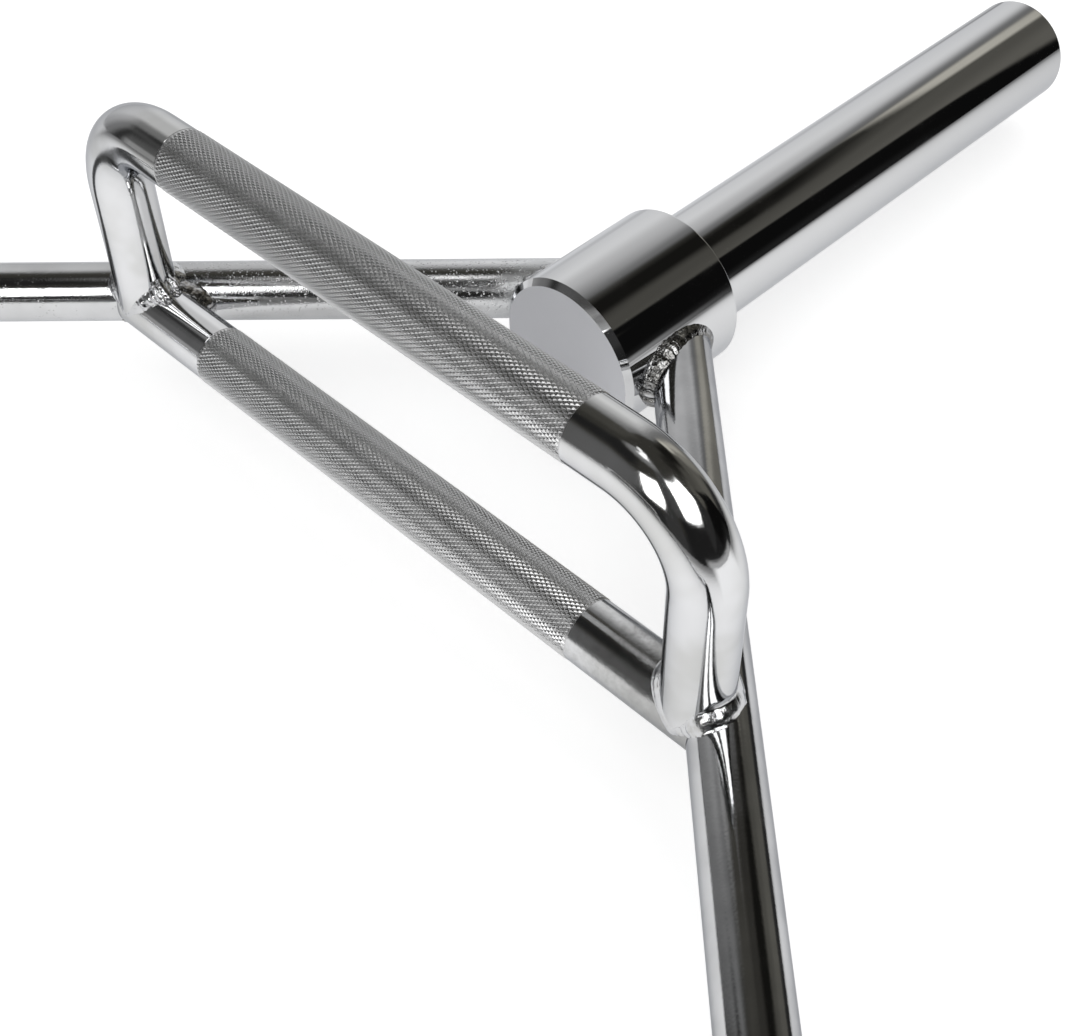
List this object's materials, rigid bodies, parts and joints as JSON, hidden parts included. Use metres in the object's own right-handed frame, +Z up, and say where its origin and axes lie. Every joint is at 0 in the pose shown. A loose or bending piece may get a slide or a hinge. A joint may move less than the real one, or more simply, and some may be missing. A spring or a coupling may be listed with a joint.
{
  "type": "trap bar",
  "caption": "Chromed hexagonal trap bar of welded round steel bar, with a collar and a plate sleeve at each end and low and raised knurled handles.",
  "frame": {"origin": "on the floor under the middle of the bar; the two collars touch the floor at z = 0", "axes": "+X along the sleeves to the right-hand end, +Y to the rear frame bar, +Z up, the way the raised handles stand"},
  "size_m": [1.443, 0.635, 0.1408],
  "materials": {
    "polished_chrome": "bright mirror chrome on ground steel",
    "bar_chrome": "bright chrome on drawn bar, faintly grainy",
    "knurled_chrome": "chrome over a fine diamond knurl",
    "weld_chrome": "chrome over rough weld beads"
  },
  "bodies": {
    "root": {"front_frame_bar": "bar_chrome", "rear_frame_bar": "bar_chrome", "right_collar": "polished_chrome", "left_collar": "polished_chrome", "right_sleeve": "polished_chrome", "left_sleeve": "polished_chrome", "right_sleeve_plug": "polished_chrome", "left_sleeve_plug": "polished_chrome", "right_low_handle": "knurled_chrome", "left_low_handle": "knurled_chrome", "right_raised_handle": "knurled_chrome", "left_raised_handle": "knurled_chrome", "right_front_collar_weld": "weld_chrome", "right_rear_collar_weld": "weld_chrome", "left_front_collar_weld": "weld_chrome", "left_rear_collar_weld": "weld_chrome", "right_front_handle_weld": "weld_chrome", "right_rear_handle_weld": "weld_chrome", "left_front_handle_weld": "weld_chrome", "left_rear_handle_weld": "weld_chrome", "right_front_riser_weld": "weld_chrome", "right_rear_riser_weld": "weld_chrome", "left_front_riser_weld": "weld_chrome", "left_rear_riser_weld": "weld_chrome"}
  },
  "joints": []
}
